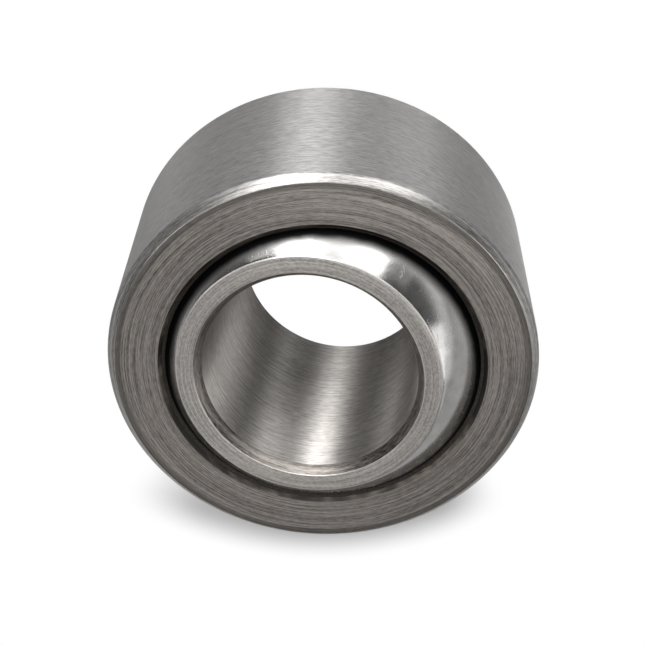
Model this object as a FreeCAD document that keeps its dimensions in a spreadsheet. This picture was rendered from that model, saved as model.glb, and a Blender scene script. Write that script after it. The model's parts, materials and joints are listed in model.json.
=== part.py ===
import FreeCAD, Part
import math
import os

import Sketcher

# A lined spherical plain bearing, in millimetres.
#
# The inner ring is a ball with flat ends and a straight bore. A thin fabric liner wraps its sphere, and a
# one-piece outer ring is closed round both, so the ball swivels and tilts in the lined seat. The origin is
# the ball's centre and +Z runs along its bore. The bearing stands on the ball's lower end face, with the
# outer ring leaning towards -X until its rim is just clear of the surface.

SIZES = {
    "bore_diameter": 12.70,
    "bore_chamfer_height": 0.42,
    "bore_chamfer_length": 0.60,
    "face_land": 1.007,
    "face_edge_radius": 0.08,
    "ball_width": 15.875,
    "sliding_clearance": 0.02,
    "liner_thickness": 0.25,
    "seat_clearance": 0.015,
    "outside_diameter": 25.40,
    "race_width": 13.08,
    "mouth_bevel_width": 0.346,
    "mouth_bevel_angle": 45.0,
    "ring_chamfer_height": 0.45,
    "ring_chamfer_length": 0.50,
    "rim_clearance": 0.033,
}

# The sphere runs through the outer edges of the ball's end faces. The liner and the race wrap it with their
# gaps, and the mouth is bevelled back from where the race would run out through the ring's face.
LEAD_RADIUS = "(sizes.bore_diameter / 2 + sizes.bore_chamfer_height)"
BALL_RADIUS = "sqrt((%s + sizes.face_land)^2 + (sizes.ball_width / 2)^2)" % LEAD_RADIUS
LINER_INNER = "(%s + sizes.sliding_clearance)" % BALL_RADIUS
LINER_OUTER = "(%s + sizes.liner_thickness)" % LINER_INNER
RACE_RADIUS = "(%s + sizes.seat_clearance)" % LINER_OUTER
MOUTH_RADIUS = "(sqrt(%s^2 - (sizes.race_width / 2)^2) + sizes.mouth_bevel_width)" % RACE_RADIUS
BEVEL_ANGLE = "sizes.mouth_bevel_angle * 1 deg"

# At rest the ring leans until the rim of its face, swung down about the ball's centre, is just clear of the
# surface that the ball's end stands on.
RIM_RADIUS = "(sizes.outside_diameter / 2 - sizes.ring_chamfer_height)"
RIM_REACH = "sqrt(%s^2 + (sizes.race_width / 2)^2)" % RIM_RADIUS
REST_LEAN = "asin((sizes.ball_width / 2 - sizes.rim_clearance) / %s) - atan(sizes.race_width / 2 / %s)" % (
    RIM_REACH,
    RIM_RADIUS,
)

# A sketch numbers its own parts: -1 is its horizontal axis, whose point 1 is the sketch's origin.
HORIZONTAL_AXIS = -1
ORIGIN = (HORIZONTAL_AXIS, 1)
START = 1
END = 2
CENTRE = 3
FULL_TURN = 360

doc = FreeCAD.newDocument("spherical_plain_bearing")
sheet = doc.addObject("Spreadsheet::Sheet", "sizes")
for row, (alias, number) in enumerate(SIZES.items(), start=1):
    sheet.set("A%d" % row, alias)
    sheet.set("B%d" % row, str(number))
    sheet.setAlias("B%d" % row, alias)
doc.recompute()


def value(expression):
    """The present value of an expression in the sheet's sizes."""
    return float(sheet.evalExpression(expression))


def new_body(name):
    body = doc.addObject("PartDesign::Body", name)
    body.Label = name
    return body


def half_section(body, name):
    """A sketch in the plane of the body's axis: across is the radius and up is the axis."""
    sketch = body.newObject("Sketcher::SketchObject", name)
    plane = [item for item in body.Origin.OriginFeatures if item.Role == "XZ_Plane"][0]
    sketch.AttachmentSupport = [(plane, "")]
    sketch.MapMode = "FlatFace"
    return sketch


def add_line(sketch, start, end, construction=False):
    line = Part.LineSegment(FreeCAD.Vector(*start, 0), FreeCAD.Vector(*end, 0))
    return sketch.addGeometry(line, construction)


def add_sphere_arc(sketch, radius, top_height):
    """An arc about the origin, from its lower end up to top_height on the side of positive radius."""
    circle = Part.Circle(FreeCAD.Vector(0, 0, 0), FreeCAD.Vector(0, 0, 1), radius)
    reach = math.asin(top_height / radius)
    arc = sketch.addGeometry(Part.ArcOfCircle(circle, -reach, reach))
    sketch.addConstraint(Sketcher.Constraint("Coincident", arc, CENTRE, *ORIGIN))
    return arc


def join(sketch, *corners):
    """Each corner is two ends, (edge, which end, edge, which end), that meet."""
    for corner in corners:
        sketch.addConstraint(Sketcher.Constraint("Coincident", *corner))


def mirror_points(sketch, *pairs):
    """Each pair of ends lies level, one above the horizontal axis and one below."""
    for pair in pairs:
        sketch.addConstraint(Sketcher.Constraint("Symmetric", *pair, HORIZONTAL_AXIS))


def bind(sketch, name, expression, kind, *where):
    """A named dimension that follows the sheet."""
    present = value(expression)
    if kind == "Angle":
        present = math.radians(present)
    index = sketch.addConstraint(Sketcher.Constraint(kind, *where, present))
    sketch.renameConstraint(index, name)
    sketch.setExpression("Constraints." + name, expression)


def revolve(body, sketch, name):
    turned = body.newObject("PartDesign::Revolution", name)
    turned.Profile = sketch
    turned.ReferenceAxis = (sketch, ["V_Axis"])
    turned.Angle = FULL_TURN
    doc.recompute()
    return turned


def lean_to_rest(body):
    """Leans a body about the ball's centre, towards -X, as the outer ring rests."""
    lean = FreeCAD.Rotation(FreeCAD.Vector(0, -1, 0), value(REST_LEAN))
    body.Placement = FreeCAD.Placement(FreeCAD.Vector(0, 0, 0), lean)
    body.setExpression("Placement.Rotation.Angle", REST_LEAN)


def make_inner_ring():
    """The ball: a sphere with two flat ends, a bore with a lead-in at each end and softened outer edges."""
    body = new_body("inner_ring")
    sketch = half_section(body, "inner_ring_section")
    bore_radius = value("sizes.bore_diameter / 2")
    lead_radius = value(LEAD_RADIUS)
    face_radius = value(LEAD_RADIUS + " + sizes.face_land")
    half_width = value("sizes.ball_width / 2")
    wall_end = value("sizes.ball_width / 2 - sizes.bore_chamfer_length")

    wall = add_line(sketch, (bore_radius, -wall_end), (bore_radius, wall_end))
    top_lead = add_line(sketch, (bore_radius, wall_end), (lead_radius, half_width))
    top_face = add_line(sketch, (lead_radius, half_width), (face_radius, half_width))
    sphere = add_sphere_arc(sketch, value(BALL_RADIUS), half_width)
    low_face = add_line(sketch, (face_radius, -half_width), (lead_radius, -half_width))
    low_lead = add_line(sketch, (lead_radius, -half_width), (bore_radius, -wall_end))
    join(
        sketch,
        (wall, END, top_lead, START),
        (top_lead, END, top_face, START),
        (top_face, END, sphere, END),
        (sphere, START, low_face, START),
        (low_face, END, low_lead, START),
        (low_lead, END, wall, START),
    )
    mirror_points(sketch, (wall, START, wall, END), (top_face, START, low_face, END))
    sketch.addConstraint(Sketcher.Constraint("Horizontal", top_face))
    sketch.addConstraint(Sketcher.Constraint("Horizontal", low_face))
    bind(sketch, "bore_radius", "sizes.bore_diameter / 2", "DistanceX", *ORIGIN, wall, END)
    bind(sketch, "lead_height", "sizes.bore_chamfer_height", "DistanceX", top_lead, START, top_lead, END)
    bind(sketch, "lead_length", "sizes.bore_chamfer_length", "DistanceY", top_lead, START, top_lead, END)
    bind(sketch, "land", "sizes.face_land", "DistanceX", top_face, START, top_face, END)
    bind(sketch, "half_width", "sizes.ball_width / 2", "DistanceY", *ORIGIN, top_face, START)

    ball = revolve(body, sketch, "inner_ring_turned")
    softened = body.newObject("PartDesign::Fillet", "inner_ring_edges")
    softened.Base = (ball, widest_flat_edges(ball.Shape))
    softened.setExpression("Radius", "sizes.face_edge_radius")
    return body


def widest_flat_edges(shape):
    """Names of the edges where the flat ends meet the sphere: the outer rim of each flat face."""
    rims = []
    for face in shape.Faces:
        if isinstance(face.Surface, Part.Plane):
            rims.append(max(face.Edges, key=lambda edge: edge.Length))
    return [
        "Edge%d" % number
        for number, edge in enumerate(shape.Edges, start=1)
        if any(edge.isSame(rim) for rim in rims)
    ]


def make_sliding_liner():
    """A thin shell between ball and race. Its edges are trimmed on the same cone as the ring's mouths."""
    body = new_body("sliding_liner")
    sketch = half_section(body, "sliding_liner_section")
    mouth_corner = (value(MOUTH_RADIUS), value("sizes.race_width / 2"))
    inner_end = meet_of_bevel_and_sphere(value(LINER_INNER))
    outer_end = meet_of_bevel_and_sphere(value(LINER_OUTER))

    inner = add_sphere_arc(sketch, value(LINER_INNER), inner_end[1])
    outer = add_sphere_arc(sketch, value(LINER_OUTER), outer_end[1])
    top_edge = add_line(sketch, inner_end, outer_end)
    low_edge = add_line(sketch, (inner_end[0], -inner_end[1]), (outer_end[0], -outer_end[1]))
    bevel = add_line(sketch, inner_end, mouth_corner, construction=True)
    join(
        sketch,
        (inner, END, top_edge, START),
        (top_edge, END, outer, END),
        (outer, START, low_edge, END),
        (low_edge, START, inner, START),
        (bevel, START, inner, END),
    )
    sketch.addConstraint(Sketcher.Constraint("PointOnObject", outer, END, bevel))
    sketch.addConstraint(Sketcher.Constraint("Vertical", inner, START, inner, END))
    sketch.addConstraint(Sketcher.Constraint("Vertical", outer, START, outer, END))
    bind(sketch, "inner_radius", LINER_INNER, "Radius", inner)
    bind(sketch, "outer_radius", LINER_OUTER, "Radius", outer)
    bind(sketch, "mouth_radius", MOUTH_RADIUS, "DistanceX", *ORIGIN, bevel, END)
    bind(sketch, "mouth_height", "sizes.race_width / 2", "DistanceY", *ORIGIN, bevel, END)
    bind(sketch, "bevel_angle", BEVEL_ANGLE, "Angle", bevel)
    revolve(body, sketch, "sliding_liner_turned")
    lean_to_rest(body)
    return body


def meet_of_bevel_and_sphere(sphere_radius):
    """Radius and height where the mouth's bevel line runs into a sphere about the origin."""
    slope = math.radians(value(BEVEL_ANGLE))
    across = value(MOUTH_RADIUS)
    up = value("sizes.race_width / 2")
    along = across * math.cos(slope) + up * math.sin(slope)
    run = along - math.sqrt(along**2 - (across**2 + up**2 - sphere_radius**2))
    return across - run * math.cos(slope), up - run * math.sin(slope)


def make_outer_ring():
    """The outer ring: plain cylinder outside, chamfered rims, a spherical race inside, bevelled mouths."""
    body = new_body("outer_ring")
    sketch = half_section(body, "outer_ring_section")
    outside_radius = value("sizes.outside_diameter / 2")
    rim_radius = value(RIM_RADIUS)
    mouth_radius = value(MOUTH_RADIUS)
    half_width = value("sizes.race_width / 2")
    wall_end = value("sizes.race_width / 2 - sizes.ring_chamfer_length")
    race_end = meet_of_bevel_and_sphere(value(RACE_RADIUS))

    top_face = add_line(sketch, (mouth_radius, half_width), (rim_radius, half_width))
    top_chamfer = add_line(sketch, (rim_radius, half_width), (outside_radius, wall_end))
    outside = add_line(sketch, (outside_radius, wall_end), (outside_radius, -wall_end))
    low_chamfer = add_line(sketch, (outside_radius, -wall_end), (rim_radius, -half_width))
    low_face = add_line(sketch, (rim_radius, -half_width), (mouth_radius, -half_width))
    low_bevel = add_line(sketch, (mouth_radius, -half_width), (race_end[0], -race_end[1]))
    race = add_sphere_arc(sketch, value(RACE_RADIUS), race_end[1])
    top_bevel = add_line(sketch, race_end, (mouth_radius, half_width))
    join(
        sketch,
        (top_face, END, top_chamfer, START),
        (top_chamfer, END, outside, START),
        (outside, END, low_chamfer, START),
        (low_chamfer, END, low_face, START),
        (low_face, END, low_bevel, START),
        (low_bevel, END, race, START),
        (race, END, top_bevel, START),
        (top_bevel, END, top_face, START),
    )
    mirror_points(
        sketch,
        (top_face, START, low_face, END),
        (top_face, END, low_face, START),
        (outside, START, outside, END),
    )
    sketch.addConstraint(Sketcher.Constraint("Horizontal", top_face))
    sketch.addConstraint(Sketcher.Constraint("Vertical", race, START, race, END))
    bind(sketch, "outside_radius", "sizes.outside_diameter / 2", "DistanceX", *ORIGIN, outside, START)
    bind(sketch, "half_width", "sizes.race_width / 2", "DistanceY", *ORIGIN, top_face, START)
    bind(sketch, "chamfer_height", "sizes.ring_chamfer_height",
         "DistanceX", top_chamfer, START, top_chamfer, END)
    bind(sketch, "chamfer_length", "sizes.ring_chamfer_length",
         "DistanceY", top_chamfer, END, top_chamfer, START)
    bind(sketch, "mouth_radius", MOUTH_RADIUS, "DistanceX", *ORIGIN, top_face, START)
    bind(sketch, "bevel_angle", BEVEL_ANGLE, "Angle", top_bevel)
    bind(sketch, "race_radius", RACE_RADIUS, "Radius", race)
    revolve(body, sketch, "outer_ring_turned")
    lean_to_rest(body)
    return body


def check_built(bodies):
    """Stops if any object failed to recompute, or a piece is not one valid solid."""
    for item in doc.Objects:
        if "Invalid" in item.State or "Error" in item.State:
            raise RuntimeError("%s did not build: %s" % (item.Name, item.State))
    for body in bodies:
        shape = body.Shape
        if shape.isNull() or not shape.isValid() or len(shape.Solids) != 1:
            raise RuntimeError("%s is not one valid solid" % body.Label)


pieces = [make_inner_ring(), make_sliding_liner(), make_outer_ring()]
doc.recompute()
check_built(pieces)
os.makedirs("parts", exist_ok=True)
for piece in pieces:
    piece.Shape.exportStep("parts/%s.step" % piece.Label)
    box = piece.Shape.BoundBox
    print("%-14s volume %9.3f  z %8.4f to %8.4f" % (piece.Label, piece.Shape.Volume, box.ZMin, box.ZMax))
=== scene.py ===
import json
import math

import bpy
from mathutils import Matrix, Vector


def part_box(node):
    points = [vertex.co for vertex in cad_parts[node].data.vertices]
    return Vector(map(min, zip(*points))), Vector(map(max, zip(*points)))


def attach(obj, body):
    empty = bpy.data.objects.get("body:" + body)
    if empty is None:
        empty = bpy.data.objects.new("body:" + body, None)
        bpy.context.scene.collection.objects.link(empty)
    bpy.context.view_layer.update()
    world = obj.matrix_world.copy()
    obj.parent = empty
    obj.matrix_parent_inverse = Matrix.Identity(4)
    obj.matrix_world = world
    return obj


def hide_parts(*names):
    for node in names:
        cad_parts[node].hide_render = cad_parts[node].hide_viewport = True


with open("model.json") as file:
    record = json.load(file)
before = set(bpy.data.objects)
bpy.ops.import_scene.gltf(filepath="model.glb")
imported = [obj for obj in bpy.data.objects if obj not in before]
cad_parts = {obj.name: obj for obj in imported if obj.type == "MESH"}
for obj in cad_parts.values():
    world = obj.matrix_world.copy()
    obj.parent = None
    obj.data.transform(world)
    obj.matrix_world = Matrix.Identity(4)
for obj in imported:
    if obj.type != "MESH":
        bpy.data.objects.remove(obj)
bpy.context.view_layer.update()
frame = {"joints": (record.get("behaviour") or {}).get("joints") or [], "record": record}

MM = 0.001
TO_MM = 1 / MM
CENTRE = (0.0, 0.0, 0.0)
FULL_TURN = math.tau
FINE_MERGE = 0.0002 * MM
# Two places closer than this, in millimetres, are one corner.
SAME_PLACE = 0.002

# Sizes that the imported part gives.
mounts = {mount["name"]: mount for mount in frame["record"]["mounts"]}
joints = {joint["name"]: joint for joint in frame["joints"]}
BORE_RADIUS = mounts["bore"]["dims"]["r_mm"]
OUTSIDE_RADIUS = mounts["outside_diameter"]["dims"]["r_mm"]
BALL_HALF_WIDTH = mounts["ball_face_top"]["pos_m"][2] * TO_MM
RING_AXIS = Vector(joints["swivel"]["axis"])
RING_HALF_WIDTH = Vector(mounts["ring_face_top"]["pos_m"]).dot(RING_AXIS) * TO_MM
LEAN = math.atan2(-RING_AXIS.x, RING_AXIS.z)
FLOOR_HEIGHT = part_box("inner_ring")[0].z

# Sizes of the bearing's own details, in millimetres.
BORE_CHAMFER_HEIGHT = 0.42
BORE_CHAMFER_LENGTH = 0.60
FACE_LAND = 1.007
RING_CHAMFER_HEIGHT = 0.45
RING_CHAMFER_LENGTH = 0.50
MOUTH_BEVEL_WIDTH = 0.346
SLIDING_CLEARANCE = 0.02
LINER_THICKNESS = 0.25
SEAT_CLEARANCE = 0.015

LEAD_RADIUS = BORE_RADIUS + BORE_CHAMFER_HEIGHT
FACE_RADIUS = LEAD_RADIUS + FACE_LAND
BALL_RADIUS = math.hypot(FACE_RADIUS, BALL_HALF_WIDTH)
LINER_INNER = BALL_RADIUS + SLIDING_CLEARANCE
LINER_OUTER = LINER_INNER + LINER_THICKNESS
RACE_RADIUS = LINER_OUTER + SEAT_CLEARANCE
MOUTH_RADIUS = math.sqrt(RACE_RADIUS ** 2 - RING_HALF_WIDTH ** 2) + MOUTH_BEVEL_WIDTH
MOUTH_CONE = MOUTH_RADIUS - RING_HALF_WIDTH

# How finely the turned pieces are divided.
STEPS_ROUND = 256
SPHERE_STEPS = 36
EDGE_STEPS = 3
SMOOTH_BELOW = math.radians(20)

# The edge breaks left by deburring.
FACE_EDGE_BREAK = 0.07
FINE_EDGE_BREAK = 0.035
RIM_EDGE_BREAK = 0.06


def clear_selection():
    bpy.ops.object.select_all(action="DESELECT")


def draw_start(name, radius, height):
    """A piece with one vertex in the XZ plane, from which its half section is drawn."""
    clear_selection()
    bpy.ops.mesh.primitive_plane_add(size=MM, location=(radius * MM, 0, height * MM))
    piece = bpy.context.object
    piece.name = piece.data.name = name
    bpy.ops.object.transform_apply(location=True, rotation=True, scale=True)
    bpy.ops.object.mode_set(mode="EDIT")
    bpy.ops.mesh.select_all(action="SELECT")
    bpy.ops.mesh.merge(type="CENTER")
    return piece


def draw_line(across, up):
    """A straight edge of the half section from the last vertex, outward and upward in millimetres."""
    bpy.ops.mesh.extrude_region_move(TRANSFORM_OT_translate={"value": (across * MM, 0, up * MM)})


def draw_arc(start, end, steps):
    """A sphere's arc about the centre from the last vertex, between two heights' angles."""
    bpy.ops.mesh.spin(steps=steps, angle=end - start, center=CENTRE, axis=(0, 1, 0))


def select_vertices(piece, wanted):
    """Selects the vertices whose place, in millimetres, passes the test."""
    bpy.ops.object.mode_set(mode="OBJECT")
    mesh = piece.data
    for part in (mesh.polygons, mesh.edges):
        for item in part:
            item.select = False
    for vertex in mesh.vertices:
        vertex.select = wanted(vertex.co * TO_MM)
    bpy.ops.object.mode_set(mode="EDIT")
    bpy.ops.mesh.select_mode(type="VERT")


def break_edge(piece, radius, height, size):
    """Rounds one corner of the half section, as deburring does."""
    corner = Vector((radius, 0, height))
    select_vertices(piece, lambda place: (place - corner).length < SAME_PLACE)
    bpy.ops.mesh.bevel(affect="VERTICES", offset=size * MM, segments=EDGE_STEPS)


def turn_on_lathe(piece):
    """Spins the upper half section all round, mirrors it downwards and closes it."""
    bpy.ops.mesh.select_all(action="SELECT")
    bpy.ops.mesh.spin(steps=STEPS_ROUND, angle=FULL_TURN, center=CENTRE, axis=(0, 0, 1))
    bpy.ops.object.mode_set(mode="OBJECT")
    mirror = piece.modifiers.new("lower half", "MIRROR")
    mirror.use_axis = (False, False, True)
    mirror.merge_threshold = FINE_MERGE
    bpy.ops.object.modifier_apply(modifier=mirror.name)
    bpy.ops.object.mode_set(mode="EDIT")
    bpy.ops.mesh.select_all(action="SELECT")
    bpy.ops.mesh.remove_doubles(threshold=FINE_MERGE)
    bpy.ops.mesh.normals_make_consistent(inside=False)


def lean_over():
    """Turns what is selected about the ball's centre, as the ring leans at rest."""
    bpy.ops.transform.rotate(value=LEAN, orient_axis="Y", center_override=CENTRE)


def finish_piece(piece, node, body):
    """Shades the piece smooth and puts it in its node's place."""
    bpy.ops.object.mode_set(mode="OBJECT")
    bpy.ops.object.shade_smooth_by_angle(angle=SMOOTH_BELOW)
    piece.select_set(False)
    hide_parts(node)
    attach(piece, body)
    return piece


def latitude(radius, height):
    """The angle at which a point of a sphere lies above its middle."""
    return math.atan2(height, radius)


def make_inner_ring():
    """The ball: sphere, ground end, turned lead chamfer and bore."""
    piece = draw_start("ball_inner_ring", BALL_RADIUS, 0)
    draw_arc(0, latitude(FACE_RADIUS, BALL_HALF_WIDTH), SPHERE_STEPS)
    draw_line(-FACE_LAND, 0)
    draw_line(-BORE_CHAMFER_HEIGHT, -BORE_CHAMFER_LENGTH)
    draw_line(0, BORE_CHAMFER_LENGTH - BALL_HALF_WIDTH)
    break_edge(piece, FACE_RADIUS, BALL_HALF_WIDTH, FACE_EDGE_BREAK)
    break_edge(piece, LEAD_RADIUS, BALL_HALF_WIDTH, FINE_EDGE_BREAK)
    break_edge(piece, BORE_RADIUS, BALL_HALF_WIDTH - BORE_CHAMFER_LENGTH, FINE_EDGE_BREAK)
    turn_on_lathe(piece)
    return piece


def cone_height(radius):
    """How high a sphere of that radius is cut by the cone of the race's mouth."""
    half = MOUTH_CONE / 2
    return math.sqrt(radius ** 2 / 2 - half ** 2) - half


def make_liner():
    """The liner: a thin spherical sleeve, trimmed on the same cone as the race's mouth."""
    inner_top = cone_height(LINER_INNER)
    outer_top = cone_height(LINER_OUTER)
    inner_rim = inner_top + MOUTH_CONE
    outer_rim = outer_top + MOUTH_CONE
    piece = draw_start("bonded_liner", LINER_INNER, 0)
    draw_arc(0, latitude(inner_rim, inner_top), SPHERE_STEPS)
    draw_line(outer_rim - inner_rim, outer_top - inner_top)
    draw_arc(latitude(outer_rim, outer_top), 0, SPHERE_STEPS)
    break_edge(piece, inner_rim, inner_top, FINE_EDGE_BREAK)
    turn_on_lathe(piece)
    lean_over()
    return piece


def make_outer_ring():
    """The ring: race, bevelled mouth, turned face, chamfered rim and ground outside."""
    race_top = cone_height(RACE_RADIUS)
    race_rim = race_top + MOUTH_CONE
    rim_radius = OUTSIDE_RADIUS - RING_CHAMFER_HEIGHT
    shoulder = RING_HALF_WIDTH - RING_CHAMFER_LENGTH
    piece = draw_start("race_outer_ring", RACE_RADIUS, 0)
    draw_arc(0, latitude(race_rim, race_top), SPHERE_STEPS)
    draw_line(MOUTH_RADIUS - race_rim, RING_HALF_WIDTH - race_top)
    draw_line(rim_radius - MOUTH_RADIUS, 0)
    draw_line(RING_CHAMFER_HEIGHT, -RING_CHAMFER_LENGTH)
    draw_line(0, -shoulder)
    break_edge(piece, MOUTH_RADIUS, RING_HALF_WIDTH, FINE_EDGE_BREAK)
    break_edge(piece, rim_radius, RING_HALF_WIDTH, RIM_EDGE_BREAK)
    break_edge(piece, OUTSIDE_RADIUS, shoulder, RIM_EDGE_BREAK)
    turn_on_lathe(piece)
    lean_over()
    return piece


inner_ring = finish_piece(make_inner_ring(), "inner_ring", "ball")
liner = finish_piece(make_liner(), "sliding_liner", "liner")
outer_ring = finish_piece(make_outer_ring(), "outer_ring", "ring")

# The camera, fitted to the outlines of the rings, in metres.
CAMERA_PLACE = Vector((0.009967, -0.041058, 0.076769))
CAMERA_LOOK = Vector((-0.11467, 0.47378, -0.87315)).normalized()
CAMERA_UP = Vector((0.45571, -0.75591, -0.47002)).normalized()
FOCAL_PIXELS = 1397.63
FRAME_PIXELS = 645
SENSOR_WIDTH = 36.0
NEAREST = 0.005
FARTHEST = 20.0


def place_camera():
    """The camera looks down on the bearing, rolled over so that the near side of the floor is at the top."""
    camera = bpy.data.objects.new("camera", bpy.data.cameras.new("camera"))
    bpy.context.scene.collection.objects.link(camera)
    camera.data.sensor_width = SENSOR_WIDTH
    camera.data.lens = FOCAL_PIXELS / FRAME_PIXELS * SENSOR_WIDTH
    camera.data.clip_start = NEAREST
    camera.data.clip_end = FARTHEST
    right = CAMERA_LOOK.cross(CAMERA_UP).normalized()
    up = right.cross(CAMERA_LOOK)
    turned = Matrix((right, up, -CAMERA_LOOK)).transposed().to_4x4()
    camera.matrix_world = Matrix.Translation(CAMERA_PLACE) @ turned
    bpy.context.scene.camera = camera


place_camera()


class Shader:
    """A socket whose arithmetic adds Math nodes."""

    def __init__(self, tree, socket):
        self.tree = tree
        self.socket = socket

    def math(self, operation, *others):
        return self.tree.add("ShaderNodeMath", {"operation": operation}, [self, *others])

    def __add__(self, other):
        return self.math("ADD", other)

    def __radd__(self, other):
        return self.math("ADD", other)

    def __sub__(self, other):
        return self.math("SUBTRACT", other)

    def __rsub__(self, other):
        return self.tree.add("ShaderNodeMath", {"operation": "SUBTRACT"}, [other, self])

    def __mul__(self, other):
        return self.math("MULTIPLY", other)

    def __rmul__(self, other):
        return self.math("MULTIPLY", other)

    def __truediv__(self, other):
        return self.math("DIVIDE", other)

    def smooth(self, low, high):
        """0 below low, 1 above high and a soft step between."""
        settings = {"interpolation_type": "SMOOTHSTEP", "clamp": True}
        values = {"Value": self, "From Min": low, "From Max": high}
        return self.tree.add("ShaderNodeMapRange", settings, values)

    def between(self, low, high):
        """Low where this is 0 and high where it is 1."""
        return low + self * (high - low)

    def clamp(self):
        return self.tree.add("ShaderNodeClamp", {}, {"Value": self})


class Nodes:
    """An empty node tree, to which one method adds every node."""

    def __init__(self, tree):
        self.nodes = tree.nodes
        self.links = tree.links
        self.nodes.clear()

    def add(self, kind, settings, values, output=0):
        """A node of that kind: its settings first, then the values or links of its sockets."""
        node = self.nodes.new(kind)
        for name, setting in settings.items():
            if name == "stops":
                self.set_stops(node.color_ramp, setting)
            else:
                setattr(node, name, setting)
        pairs = values.items() if isinstance(values, dict) else enumerate(values)
        for key, given in pairs:
            if isinstance(given, Shader):
                self.links.new(given.socket, node.inputs[key])
            else:
                node.inputs[key].default_value = given
        return Shader(self, node.outputs[output]) if node.outputs else None

    def set_stops(self, ramp, stops):
        while len(ramp.elements) < len(stops):
            ramp.elements.new(1.0)
        for element, (place, colour) in zip(ramp.elements, stops):
            element.position = place
            element.color = colour

    def split(self, vector):
        return [self.add("ShaderNodeSeparateXYZ", {}, [vector], axis) for axis in "XYZ"]


class Finish(Nodes):
    """A procedural material whose patterns lie on the piece's own axis, in millimetres."""

    def __init__(self, name, leaning=False):
        self.material = bpy.data.materials.new(name)
        self.material.use_nodes = True
        super().__init__(self.material.node_tree)
        self.place = self.placed(leaning)
        self.x, self.y, self.z = self.split(self.place)
        self.radius = self.length(self.x, self.y)

    def placed(self, leaning):
        """The place on the surface, measured from the ball's centre along the upright or the leaning axis."""
        values = {
            "Vector": self.add("ShaderNodeTexCoord", {}, {}, "Object"),
            "Scale": (TO_MM,) * 3,
            "Rotation": (0, LEAN if leaning else 0, 0),
        }
        return self.add("ShaderNodeMapping", {"vector_type": "POINT"}, values)

    def length(self, x, y):
        return (x * x + y * y).math("SQRT")

    def distance(self, middle_x, middle_y):
        return self.length(self.x - middle_x, self.y - middle_y)

    def stretch(self, x, y, z, by):
        """A place for a pattern that is that many times as close along each direction."""
        return self.add("ShaderNodeVectorMath", {"operation": "MULTIPLY"}, [self.vector(x, y, z), by])

    def vector(self, x, y, z):
        return self.add("ShaderNodeCombineXYZ", {}, [x, y, z])

    def noise(self, vector, scale=1.0, detail=2.0, roughness=0.5):
        values = {"Vector": vector, "Scale": scale, "Detail": detail, "Roughness": roughness}
        return self.add("ShaderNodeTexNoise", {}, values, "Fac")

    def strokes(self, across, round_axis, density):
        """Strokes round the axis: density is how close they lie and round_axis how soon they end."""
        place = self.stretch(self.x, self.y, across, (round_axis, round_axis, density))
        return self.noise(place, roughness=0.6)

    def blend(self, patterns, shares):
        """The sum of the patterns, each times its share."""
        return sum(pattern * share for pattern, share in zip(patterns, shares))

    def mix(self, factor, first, second):
        """A colour between two colours."""
        return self.add("ShaderNodeMix", {"data_type": "RGBA"}, {0: factor, 6: first, 7: second}, 2)

    def bump(self, height, depth):
        """The surface's normal, roughened by that pattern, whose depth is in millimetres."""
        return self.add("ShaderNodeBump", {}, {"Distance": depth * MM, "Height": height})

    def surface(self, **values):
        sockets = {name.replace("_", " "): given for name, given in values.items()}
        shader = self.add("ShaderNodeBsdfPrincipled", {}, sockets)
        self.add("ShaderNodeOutputMaterial", {}, {"Surface": shader})
        return self.material


def grey(level, warmth=0.0):
    """A neutral colour, a little warmer where warmth is above 0."""
    return (level * (1 + warmth), level, level * (1 - warmth), 1)


# A steel that is worked in lines spreads its highlights across them.
ACROSS_THE_LINES = 0.25
LINED = 1.0
SLIGHTLY_LINED = 0.2

# How sharply a pattern turns from dark to light.
SOFT_STEP = (0.25, 0.75)
MIDDLE_STEP = (0.3, 0.7)
SHARP_STEP = (0.35, 0.65)

# The ring's ground outside. Strokes are given by how soon they end and by how close they lie, and the shares
# and heights are those of the strokes, the lines and the tones, in that order.
GROUND_STROKES = (1.7, 26.0)
GROUND_LINES = (0.08, 13.0)
GROUND_TONES = (0.2, 1.6)
GROUND_SHARES = (0.7, 0.2, 0.1)
GROUND_HEIGHTS = (0.15, 1.0)
GROUND_DARK = (0.155, 0.155, 0.161, 1)
GROUND_LIGHT = (0.56, 0.544, 0.53, 1)
GROUND_ROUGHNESS = (0.28, 0.38)
GROUND_DEPTH = 0.005


def ground_outside():
    """The outside: fine grinding strokes round the ring."""
    finish = Finish("ground_outside", leaning=True)
    strokes = finish.strokes(finish.z, *GROUND_STROKES)
    lines = finish.strokes(finish.z, *GROUND_LINES)
    tones = finish.strokes(finish.z, *GROUND_TONES)
    shade = finish.blend([strokes.smooth(*SOFT_STEP), lines.smooth(*MIDDLE_STEP), tones], GROUND_SHARES)
    return finish.surface(
        Base_Color=finish.mix(shade, GROUND_DARK, GROUND_LIGHT), Metallic=1.0,
        Roughness=strokes.between(*GROUND_ROUGHNESS),
        Anisotropic=LINED, Anisotropic_Rotation=ACROSS_THE_LINES,
        Normal=finish.bump(finish.blend([strokes, lines], GROUND_HEIGHTS), GROUND_DEPTH))


# The turned faces and chamfers. The heights and shares are those of the lines, the strokes and the tones.
FINE_LINES = (0.12, 14.0)
COARSE_LINES = (0.12, 5.0)
TURNED_GRAIN = (2.2, 26.0)
END_GRAIN = (5.0, 9.0)
TURNED_TONES = (0.12, 2.4)
TURNED_SHARES = (0.45, 0.4, 0.15)
TURNED_HEIGHTS = (0.5, 0.3, 0.2)
TURNED_SPREAD = 0.15
DARK_BAND_FADE = 0.25
DARK_BAND_SHARE = (0.4, 0.8)


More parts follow.
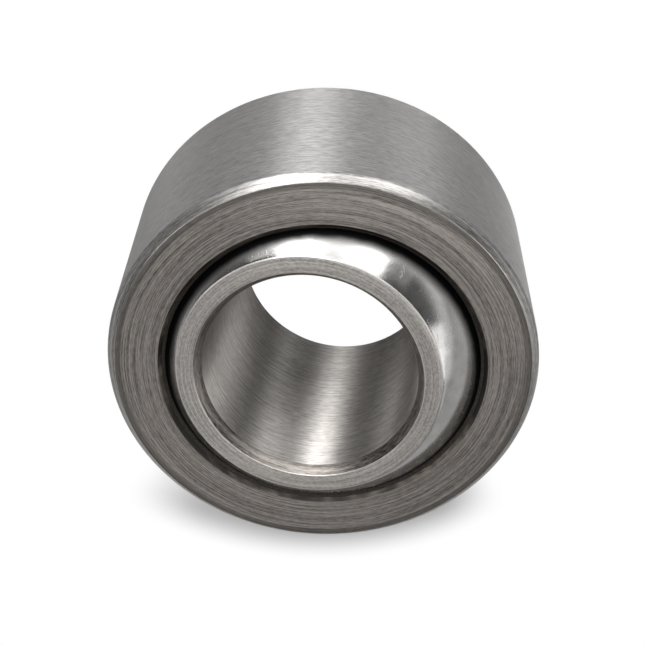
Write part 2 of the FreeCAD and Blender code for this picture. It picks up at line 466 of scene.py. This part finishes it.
def turned_face(
        name, low, high, rough, depth, leaning=True, cut=FINE_LINES, grain=TURNED_GRAIN, dark_from=None):
    """A lathe-turned face: uneven lines about the axis and a fine grain, darker past the radius dark_from."""
    finish = Finish(name, leaning)
    lines = finish.strokes(finish.radius, *cut)
    strokes = finish.strokes(finish.radius, *grain)
    tones = finish.strokes(finish.radius, *TURNED_TONES)
    softened = [lines.smooth(*SHARP_STEP), strokes.smooth(*MIDDLE_STEP), tones.smooth(*MIDDLE_STEP)]
    shade = finish.blend(softened, TURNED_SHARES)
    if dark_from:
        band = finish.radius.smooth(dark_from, dark_from + DARK_BAND_FADE)
        shade = shade * (1 - band * tones.between(*DARK_BAND_SHARE))
    return finish.surface(
        Base_Color=finish.mix(shade, low, high), Metallic=1.0,
        Roughness=strokes.between(rough, rough + TURNED_SPREAD),
        Anisotropic=SLIGHTLY_LINED, Anisotropic_Rotation=ACROSS_THE_LINES,
        Normal=finish.bump(finish.blend([lines, strokes, tones], TURNED_HEIGHTS), depth))


# The bevel at the ring's mouth, painted almost black for the shade of the gap beside the liner.
BEVEL_STROKES = (1.4, 12.0)
BEVEL_STROKE_STEP = (0.1, 0.8)
BEVEL_PATCH_SCALE = 0.4
BEVEL_PATCH_STEP = (0.40, 0.70)
BEVEL_DARK = grey(0.04, 0.08)
BEVEL_BROWN = grey(0.26, 0.14)
BEVEL_ROUGHNESS = (0.5, 0.6)
BEVEL_DEPTH = 0.006


def shade_painted_bevel():
    """The bevel at the ring's mouth: painted almost black for the gap's shade, with brown patches where the
    turning shows.
    """
    finish = Finish("mouth_bevel", leaning=True)
    patches = finish.noise(finish.place, scale=BEVEL_PATCH_SCALE).smooth(*BEVEL_PATCH_STEP)
    strokes = finish.strokes(finish.radius, *BEVEL_STROKES)
    colour = finish.mix(patches * strokes.smooth(*BEVEL_STROKE_STEP), BEVEL_DARK, BEVEL_BROWN)
    return finish.surface(
        Base_Color=colour, Metallic=1.0, Roughness=strokes.between(*BEVEL_ROUGHNESS),
        Normal=finish.bump(strokes, BEVEL_DEPTH))


# The bore, whose shares and heights are those of its strokes and lines.
BORE_STROKES = (1.8, 24.0)
BORE_LINES = (0.10, 10.0)
BORE_SHARES = (0.7, 0.3)
BORE_HEIGHTS = (0.3, 0.4)
BORE_DARK = grey(0.24, 0.08)
BORE_LIGHT = grey(0.66, 0.035)
BORE_ROUGHNESS = (0.44, 0.57)
BORE_DEPTH = 0.002


def reamed_bore():
    """The bore: satin, with fine strokes round it."""
    finish = Finish("reamed_bore")
    strokes = finish.strokes(finish.z, *BORE_STROKES)
    lines = finish.strokes(finish.z, *BORE_LINES)
    shade = finish.blend([strokes.smooth(*SOFT_STEP), lines.smooth(*MIDDLE_STEP)], BORE_SHARES)
    return finish.surface(
        Base_Color=finish.mix(shade, BORE_DARK, BORE_LIGHT), Metallic=1.0,
        Roughness=strokes.between(*BORE_ROUGHNESS),
        Anisotropic=LINED, Anisotropic_Rotation=ACROSS_THE_LINES,
        Normal=finish.bump(finish.blend([strokes, lines], BORE_HEIGHTS), BORE_DEPTH))


# The ball's sphere. The painted shade lies between two radii about the ring's axis, in millimetres, and
# wanders: a near-black band painted on the ball beside the liner, standing for the gap's shade and the dark
# liner's reflection.
CLOUD_SCALE = 0.9
SCRATCH_STRETCH = (16.0, 3.0, 6.0)
NICK_STRETCH = (9.0, 1.0, 2.0)
NICK_SLANT = 0.7
NICK_STEP = (0.64, 0.70)
GAP_SHADE_EDGE = (8.66, 9.16)
GAP_SHADE_BACK = (9.30, 9.75)
GAP_SHADE_WANDER = 0.16
GAP_SHADE_COLOUR = grey(0.006)
POLISH_DARK = grey(0.42, 0.02)
POLISH_LIGHT = grey(0.50, 0.02)
POLISH_ROUGHNESS = 0.13
# How much the cloud, the nicks and the painted shade band add to the roughness.
HAZE_SHARES = (0.06, 0.25, 0.3)
SCRATCH_DEPTH = 0.0012


def polished_sphere():
    """The ball's sphere: mirror polished, with fine scratches and a near-black band of painted shade beside
    the liner.
    """
    finish = Finish("polished_sphere")
    cloud = finish.noise(finish.place, scale=CLOUD_SCALE, detail=3.0)
    scratch_place = finish.stretch(finish.x, finish.y, finish.z, SCRATCH_STRETCH)
    scratches = finish.noise(scratch_place, detail=4.0, roughness=0.7)
    nick_place = finish.stretch(finish.x + finish.y * NICK_SLANT, finish.y, finish.z, NICK_STRETCH)
    nicks = finish.noise(nick_place, detail=3.0, roughness=0.6).smooth(*NICK_STEP)
    across, along, _ = finish.split(finish.placed(leaning=True))
    outward = finish.length(across, along) + GAP_SHADE_WANDER * cloud
    # A near-black band of painted shade on the ball beside the liner, standing for the gap's shade and
    # reflection.
    gap_shade = outward.smooth(*GAP_SHADE_EDGE) * (1 - outward.smooth(*GAP_SHADE_BACK))
    steel = finish.mix(cloud.smooth(*SHARP_STEP), POLISH_DARK, POLISH_LIGHT)
    return finish.surface(
        Base_Color=finish.mix(gap_shade, steel, GAP_SHADE_COLOUR), Metallic=1.0,
        Roughness=POLISH_ROUGHNESS + finish.blend([cloud, nicks, gap_shade], HAZE_SHARES),
        Normal=finish.bump(scratches + nicks, SCRATCH_DEPTH))


# The liner.
THREAD_SCALE = 9.0
THREAD_DARK = (0.008, 0.007, 0.006, 1)
THREAD_LIGHT = (0.035, 0.027, 0.02, 1)
THREAD_ROUGHNESS = 0.7
THREAD_DEPTH = 0.02


def liner_cloth():
    """The liner: dark woven cloth, its threads cut at the trimmed edge."""
    finish = Finish("liner_cloth", leaning=True)
    threads = finish.noise(finish.place, scale=THREAD_SCALE, detail=3.0)
    return finish.surface(
        Base_Color=finish.mix(threads.smooth(*MIDDLE_STEP), THREAD_DARK, THREAD_LIGHT), Metallic=0.0,
        Roughness=THREAD_ROUGHNESS, Normal=finish.bump(threads, THREAD_DEPTH))


# Which finish a face gets is told by its radius, its height above the middle, and how far its normal points
# outward from the axis and along it. A normal past STRAIGHT points straight that way.
STRAIGHT = 0.9
MOUTH_DEPTH = 0.5
MOUTH_SLOPE = 0.3
CHAMFER_SLOPE = 0.2
END_SLOPE = 0.78
OUTER_BREAK_SLOPE = (0.8, 0.97)
INNER_BREAK_SLOPE = (0.1, 0.97)
INNER_BREAK_REACH = 0.06
BREAK_DEPTH = 0.09
LEAD_REACH = 0.1
BORE_REACH = 0.02


def anywhere(radius, height, outward, along):
    return True


def on_outside(radius, height, outward, along):
    return outward > STRAIGHT


def on_ring_face(radius, height, outward, along):
    return along > STRAIGHT


def on_rim_chamfer(radius, height, outward, along):
    return CHAMFER_SLOPE < outward < STRAIGHT


def on_mouth_bevel(radius, height, outward, along):
    return -STRAIGHT < outward < -MOUTH_SLOPE and height > RING_HALF_WIDTH - MOUTH_DEPTH


def on_ball_end(radius, height, outward, along):
    return along > END_SLOPE


def on_lead_chamfer(radius, height, outward, along):
    return outward < -CHAMFER_SLOPE and radius < LEAD_RADIUS + LEAD_REACH


def on_bore(radius, height, outward, along):
    return outward < -STRAIGHT and radius < BORE_RADIUS + BORE_REACH


def on_broken_edge(radius, height, outward, along):
    """The two edge breaks of the ball's end face."""
    outer = outward > 0 and OUTER_BREAK_SLOPE[0] < along < OUTER_BREAK_SLOPE[1]
    beside_lead = abs(radius - LEAD_RADIUS) < INNER_BREAK_REACH
    inner = beside_lead and INNER_BREAK_SLOPE[0] < along < INNER_BREAK_SLOPE[1]
    return height > BALL_HALF_WIDTH - BREAK_DEPTH and (outer or inner)


def assign_finishes(piece, lean, finishes):
    """Gives each face the last finish whose test it passes, on the piece's own axis, which leans that far."""
    for material, _ in finishes:
        piece.data.materials.append(material)
    upright = Matrix.Rotation(lean, 3, "Y")
    for face in piece.data.polygons:
        middle = upright @ face.center * TO_MM
        normal = upright @ face.normal
        radius = math.hypot(middle.x, middle.y)
        outward = (middle.x * normal.x + middle.y * normal.y) / radius
        for index, (_, test) in enumerate(finishes):
            if test(radius, abs(middle.z), outward, abs(normal.z)):
                face.material_index = index


RIM_DARK_FROM = 11.75

broken_edge = turned_face(
    "broken_edge", low=grey(0.42, 0.03), high=grey(0.64, 0.03), rough=0.34, depth=0.001, leaning=False)
race_steel = turned_face("race_steel", low=grey(0.50, 0.03), high=grey(0.72, 0.03), rough=0.34, depth=0.002)
ring_face = turned_face(
    "turned_ring_face", low=grey(0.075, 0.09), high=grey(0.42, 0.075), rough=0.54, depth=0.012,
    dark_from=RIM_DARK_FROM)
rim_chamfer = turned_face("rim_chamfer", low=grey(0.11, 0.05), high=grey(0.50, 0.03), rough=0.28, depth=0.004)
ball_end = turned_face(
    "ground_end", low=grey(0.22, 0.06), high=grey(0.58, 0.055), rough=0.50, depth=0.004, leaning=False,
    grain=END_GRAIN)
lead_chamfer = turned_face(
    "lead_chamfer", low=grey(0.03, 0.14), high=grey(0.34, 0.08), rough=0.38, depth=0.012, leaning=False,
    cut=COARSE_LINES)

assign_finishes(outer_ring, LEAN, [
    (race_steel, anywhere),
    (ground_outside(), on_outside),
    (ring_face, on_ring_face),
    (rim_chamfer, on_rim_chamfer),
    # The mouth's bevel, painted almost black as shade.
    (shade_painted_bevel(), on_mouth_bevel),
])
assign_finishes(inner_ring, 0, [
    (polished_sphere(), anywhere),
    (ball_end, on_ball_end),
    (lead_chamfer, on_lead_chamfer),
    (reamed_bore(), on_bore),
    (broken_edge, on_broken_edge),
])
assign_finishes(liner, LEAN, [(liner_cloth(), anywhere)])

FLOOR_RADIUS = 1.2
FLOOR_CORNERS = 96
PAPER = grey(0.47)
WHITE = grey(1.0)
PLAIN = 1.0
# Round the bearing the floor is grey paper that shows the real shadow and also paints one: in a crescent
# where the shadow falls and in a ring under the bearing it is darker than the backdrop even where lit.
# Further out it fades to the white backdrop. Places and distances are in millimetres, and SHADOW_SIDE points
# the way that the shadow falls.
SHADOW_MIDDLE = (2.5, 3.0)
SHADOW_FADE = (20.8, 24.2)
SHADOW_SIDE = (-0.42, 0.91)
SHADOW_SIDE_FADE = (0.80, 0.93)
CONTACT_FADE = (9.8, 12.3)
# The patch of floor that shows through the bore stays as white as the backdrop.
BORE_PATCH = (-1.0, 5.2)
BORE_PATCH_FADE = (5.6, 6.6)
UNDER_BALL_FADE = (6.9, 7.3)
# How much of the white floor shows in the steel.
GLOSSY_SHARE = 0.15


def pale_floor():
    """White as the backdrop to the camera, and grey paper where the shadow falls: a painted shadow with the
    real shadow on it.
    """
    finish = Finish("pale_floor")
    camera = finish.add("ShaderNodeLightPath", {}, {}, "Is Camera Ray")
    glossy = finish.add("ShaderNodeLightPath", {}, {}, "Is Glossy Ray")
    clear = finish.add("ShaderNodeLightPath", {}, {}, "Is Transmission Ray")
    paper = finish.add("ShaderNodeBsdfDiffuse", {}, {"Color": PAPER})
    white = finish.add("ShaderNodeEmission", {}, {"Color": WHITE, "Strength": PLAIN})
    # The camera sees the grey paper in the crescent and under the bearing: painted shadow with the real
    # shadow on it.
    toward = (finish.x * SHADOW_SIDE[0] + finish.y * SHADOW_SIDE[1]) / finish.radius
    cast = toward.smooth(*SHADOW_SIDE_FADE) * (1 - finish.distance(*SHADOW_MIDDLE).smooth(*SHADOW_FADE))
    contact = 1 - finish.radius.smooth(*CONTACT_FADE)
    far = (1 - cast) * (1 - contact)
    patch = 1 - finish.distance(*BORE_PATCH).smooth(*BORE_PATCH_FADE)
    inside = patch * (1 - finish.radius.smooth(*UNDER_BALL_FADE))
    share = (camera * (far + inside).clamp() + (glossy + clear) * far * GLOSSY_SHARE).clamp()
    both = finish.add("ShaderNodeMixShader", {}, [share, paper, white])
    finish.add("ShaderNodeOutputMaterial", {}, {"Surface": both})
    return finish.material


def lay_floor():
    """A wide pale floor that keeps the bearing's shadow, round which grey paper paints a shadow too."""
    clear_selection()
    bpy.ops.mesh.primitive_circle_add(
        vertices=FLOOR_CORNERS, radius=FLOOR_RADIUS, fill_type="NGON", location=(0, 0, FLOOR_HEIGHT))
    floor = bpy.context.object
    floor.name = "floor"
    floor.data.materials.append(pale_floor())
    floor.select_set(False)


lay_floor()

# The soft boxes look at the bearing from this many metres. Azimuth 0 is +X and 90 is +Y.
LAMP_DISTANCE = 0.30
# Name, azimuth, elevation, width and height in degrees, and brightness.
SOFT_BOXES = [
    ("key", -49, 28, 23, 34, 7.8),
    ("high_key", -46, 60, 13, 28, 22.0),
    ("second_key", -93, 24, 21, 30, 2.8),
    ("high_second_key", -109, 60, 9, 28, 8.0),
    ("side_box", -160, 46, 34, 30, 2.1),
    ("high_side_box", -188, 64, 16, 18, 7.0),
    ("low_side_box", -164, 14, 30, 14, 1.7),
    ("low_corner", -110, 12, 20, 16, 0.3),
    ("front_fill", -76, 18, 52, 16, 1.9),
    ("front_gap", -74, 32, 26, 10, 1.9),
    ("corner_fade", -28, 15, 18, 16, 0.8),
    ("left_fill", 16, 44, 18, 28, 2.8),
    ("rear_fill", 80, 34, 50, 22, 1.4),
]
# The room is white up to just above the horizon, and dim from there up.
ROOM_STOPS = [(0.06, WHITE), (0.16, grey(0.12))]


def hang_lamp(name, azimuth, elevation, wide, tall, brightness):
    """A soft box whose sides are given by the angles that they fill, as the bearing sees them."""
    lamp = bpy.data.lights.new(name, "AREA")
    lamp.shape = "RECTANGLE"
    around, above = math.radians(azimuth), math.radians(elevation)
    lamp.size = 2 * LAMP_DISTANCE * math.tan(math.radians(wide) / 2) * math.cos(above)
    lamp.size_y = 2 * LAMP_DISTANCE * math.tan(math.radians(tall) / 2)
    lamp.energy = brightness * math.pi * lamp.size * lamp.size_y
    holder = bpy.data.objects.new(name, lamp)
    bpy.context.scene.collection.objects.link(holder)
    away = Vector((math.cos(around) * math.cos(above), math.sin(around) * math.cos(above), math.sin(above)))
    holder.location = away * LAMP_DISTANCE
    holder.rotation_mode = "QUATERNION"
    holder.rotation_quaternion = away.to_track_quat("Z", "Y")


def light_studio():
    """A dim room and its soft boxes."""
    world = bpy.data.worlds.new("studio")
    bpy.context.scene.world = world
    world.use_nodes = True
    room = Nodes(world.node_tree)
    _, _, height = room.split(room.add("ShaderNodeTexCoord", {}, {}, "Generated"))
    colour = room.add("ShaderNodeValToRGB", {"stops": ROOM_STOPS}, [height])
    background = room.add("ShaderNodeBackground", {}, {"Color": colour, "Strength": PLAIN})
    room.add("ShaderNodeOutputWorld", {}, {"Surface": background})
    for box in SOFT_BOXES:
        hang_lamp(*box)


light_studio()

bpy.context.scene.view_settings.view_transform = "Standard"
